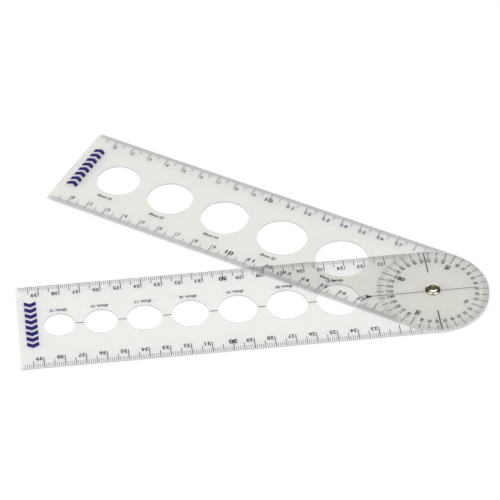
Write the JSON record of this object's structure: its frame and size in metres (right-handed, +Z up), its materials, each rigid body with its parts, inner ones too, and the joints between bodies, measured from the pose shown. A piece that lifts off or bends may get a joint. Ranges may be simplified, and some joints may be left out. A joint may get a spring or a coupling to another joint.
{
  "type": "goniometer",
  "caption": "Flat see-through plastic goniometer: ruled arms on a dished metal pivot rivet, full-circle protractor and round gauge holes.",
  "frame": {"origin": "middle of the rivet's flat underside, on the pivot's axis, at the lowest point of the part", "axes": "+Z up along the pivot's axis, out of the printed face; the protractor arm's ruler runs out along -X"},
  "size_m": [0.2285, 0.1632, 0.0033],
  "materials": {
    "clear_plastic": "gloss",
    "nickel": "gloss",
    "washer_nylon": "satin",
    "ink_grey": "satin",
    "ink_navy": "satin"
  },
  "bodies": {
    "protractor": {"protractor_arm": "clear_plastic", "rivet_cap": "nickel", "rivet_post": "nickel", "friction_washer": "washer_nylon"},
    "pointer": {"pointer_arm": "clear_plastic"}
  },
  "joints": [
    {"name": "pivot", "type": "hinge", "parent": "protractor", "child": "pointer", "pos_m": [0, 0, 0], "axis": [0, 0, 1], "continuous": true}
  ]
}
